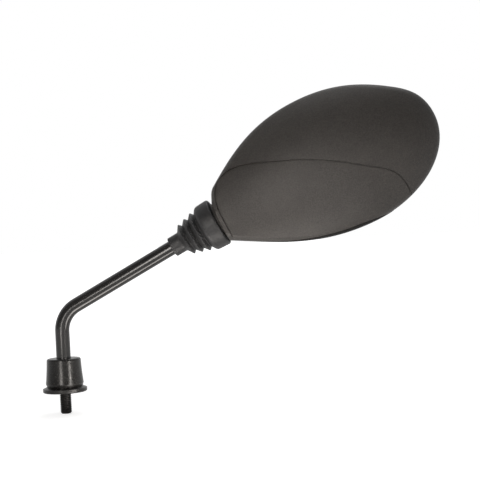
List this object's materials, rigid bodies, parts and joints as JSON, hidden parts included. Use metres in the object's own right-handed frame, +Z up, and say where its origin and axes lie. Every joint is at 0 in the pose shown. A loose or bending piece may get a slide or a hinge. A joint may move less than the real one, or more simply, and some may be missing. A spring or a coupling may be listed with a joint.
{
  "type": "motorcycle mirror",
  "caption": "Egg-shaped left-hand scooter mirror on a bent black stem with a rubber bellows over its ball joint and a threaded mounting stud under a soft nut cover.",
  "frame": {"origin": "on the stud's axis at the seat plane, under the nut cover's lip", "axes": "+Z up along the stud, +X from the stud towards the head, +Y the way the glass faces"},
  "size_m": [0.2817, 0.047, 0.216],
  "materials": {
    "stem_paint": "gloss black paint",
    "housing_plastic": "charcoal, fine moulded grain",
    "frame_plastic": "charcoal, fine moulded grain",
    "bellows_rubber": "matte black rubber",
    "boot_rubber": "satin black moulded rubber",
    "mirror_glass": "silvered convex glass",
    "foam_pad": "closed-cell foam",
    "inner_plastic": "natural nylon",
    "plain_steel": "zinc-plated steel"
  },
  "bodies": {
    "stem": {"stem": "stem_paint", "pivot_ball": "plain_steel", "flat_washer": "plain_steel", "spring_washer": "plain_steel", "lock_nut": "plain_steel"},
    "boot": {"base_boot": "boot_rubber"},
    "gaiter": {"bellows": "bellows_rubber"},
    "liner": {"ball_liner": "inner_plastic"},
    "head": {"housing": "housing_plastic", "front_frame": "frame_plastic", "carrier_screws": "plain_steel", "glass_pad": "foam_pad", "mirror_glass": "mirror_glass", "pressure_cup": "inner_plastic", "spring_plate": "plain_steel", "clamp_screws": "plain_steel"}
  },
  "joints": [
    {"name": "boot_slide", "type": "slide", "parent": "stem", "child": "boot", "axis": [0, 0, 1], "range_m": [0, 0.018]},
    {"name": "head_swivel", "type": "hinge", "parent": "stem", "child": "gaiter", "pos_m": [0.1088, 0, 0.11157], "axis": [0.8846, 0, 0.4664], "continuous": true},
    {"name": "head_tilt", "type": "hinge", "parent": "gaiter", "child": "liner", "pos_m": [0.1088, 0, 0.11157], "axis": [-0.4664, 0, 0.8846], "range_deg": [-15, 15], "deforming": ["bellows"]},
    {"name": "head_nod", "type": "hinge", "parent": "liner", "child": "head", "pos_m": [0.1088, 0, 0.11157], "axis": [0, -1, 0], "range_deg": [-15, 15], "deforming": ["bellows"]}
  ]
}
